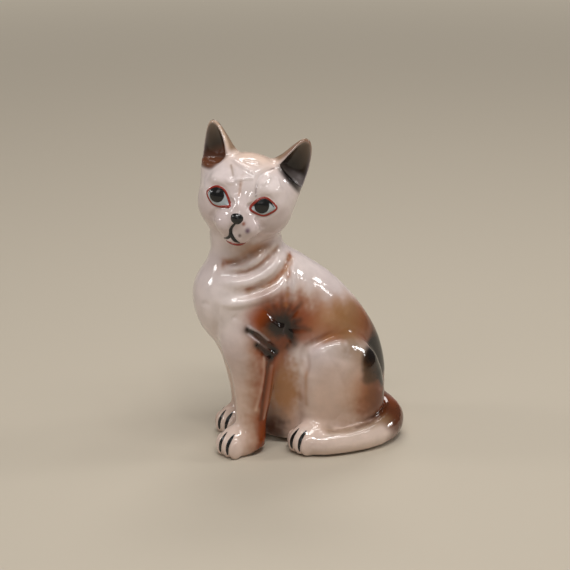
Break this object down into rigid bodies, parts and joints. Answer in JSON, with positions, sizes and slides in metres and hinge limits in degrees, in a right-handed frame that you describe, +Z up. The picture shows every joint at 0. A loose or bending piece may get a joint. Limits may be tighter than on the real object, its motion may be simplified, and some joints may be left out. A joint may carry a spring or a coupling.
{
  "type": "ceramic cat figurine",
  "caption": "Seated glazed ceramic cat with its head turned to its left, forelegs upright and tail curled round its left haunch, hollow with a vented base.",
  "frame": {"origin": "centre of the figure's outline on the surface that it stands on", "axes": "+Z up; the body faces -Y; the cat's left side, which its head turns to, is +X"},
  "size_m": [0.0613, 0.0946, 0.1484],
  "materials": {
    "white_glaze": "high gloss pinkish white glaze with airbrushed tan, orange-brown and black patches",
    "brown_glaze": "high gloss dark brown to black airbrushed glaze",
    "tail_glaze": "high gloss tan and grey-brown airbrushed glaze",
    "black_enamel": "gloss black overglaze enamel",
    "red_enamel": "gloss red-brown overglaze enamel",
    "eye_enamel": "gloss pale blue-grey overglaze enamel"
  },
  "bodies": {
    "root": {"torso": "white_glaze", "head": "white_glaze", "ear_left": "brown_glaze", "ear_right": "brown_glaze", "foreleg_left": "white_glaze", "foreleg_right": "white_glaze", "hind_paw_left": "white_glaze", "hind_paw_right": "white_glaze", "tail": "tail_glaze", "eye_rim_left": "red_enamel", "eye_rim_right": "red_enamel", "eye_white_left": "eye_enamel", "eye_white_right": "eye_enamel", "pupil_left": "black_enamel", "pupil_right": "black_enamel", "nose": "black_enamel", "mouth_line": "black_enamel", "lower_lip": "red_enamel", "foreleg_left_toe_lines": "black_enamel", "foreleg_right_toe_lines": "black_enamel", "hind_paw_left_toe_lines": "black_enamel", "hind_paw_right_toe_lines": "black_enamel"}
  },
  "joints": []
}
